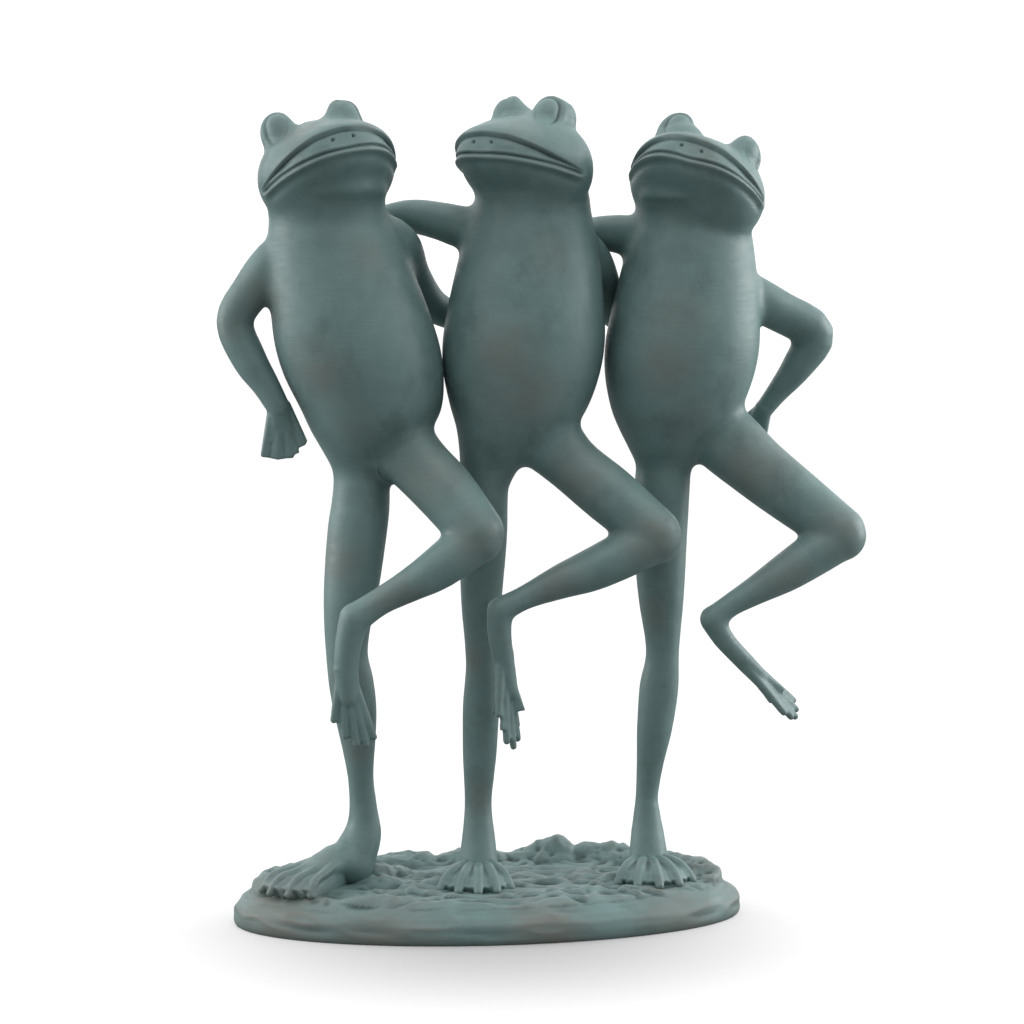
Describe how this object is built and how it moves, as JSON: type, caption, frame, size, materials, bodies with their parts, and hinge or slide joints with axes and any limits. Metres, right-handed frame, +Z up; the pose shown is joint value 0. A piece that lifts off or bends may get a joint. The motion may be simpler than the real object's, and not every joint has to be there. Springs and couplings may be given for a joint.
{
  "type": "frog figurine",
  "caption": "Cast-metal garden figurine of frogs dancing arm in arm on an oval mud base, each on one straight leg with the other leg lifted and bent.",
  "frame": {"origin": "centre of the base's flat underside, on the surface that the figurine stands on", "axes": "+Z up, the frogs face -Y, +X towards the right-hand frog as seen from the front"},
  "size_m": [0.3165, 0.128, 0.4054],
  "materials": {
    "verdigris_casting": "satin-matte blue-green patina, rubbed brownish",
    "verdigris_base": "satin-matte blue-green patina, rubbed brownish at the rim",
    "zinc_steel": "zinc plated"
  },
  "bodies": {
    "root": {"base": "verdigris_base", "left_frog_body": "verdigris_casting", "left_frog_head": "verdigris_casting", "left_frog_standing_leg": "verdigris_casting", "left_frog_standing_foot": "verdigris_casting", "left_frog_raised_leg": "verdigris_casting", "middle_frog_body": "verdigris_casting", "middle_frog_head": "verdigris_casting", "middle_frog_standing_leg": "verdigris_casting", "middle_frog_standing_foot": "verdigris_casting", "middle_frog_raised_leg": "verdigris_casting", "right_frog_body": "verdigris_casting", "right_frog_head": "verdigris_casting", "right_frog_standing_leg": "verdigris_casting", "right_frog_standing_foot": "verdigris_casting", "right_frog_raised_leg": "verdigris_casting", "left_frog_outer_arm": "verdigris_casting", "left_frog_inner_arm": "verdigris_casting", "middle_frog_left_arm": "verdigris_casting", "middle_frog_right_arm": "verdigris_casting", "right_frog_inner_arm": "verdigris_casting", "right_frog_outer_arm": "verdigris_casting", "foot_screws": "zinc_steel", "foot_washers": "zinc_steel"}
  },
  "joints": []
}
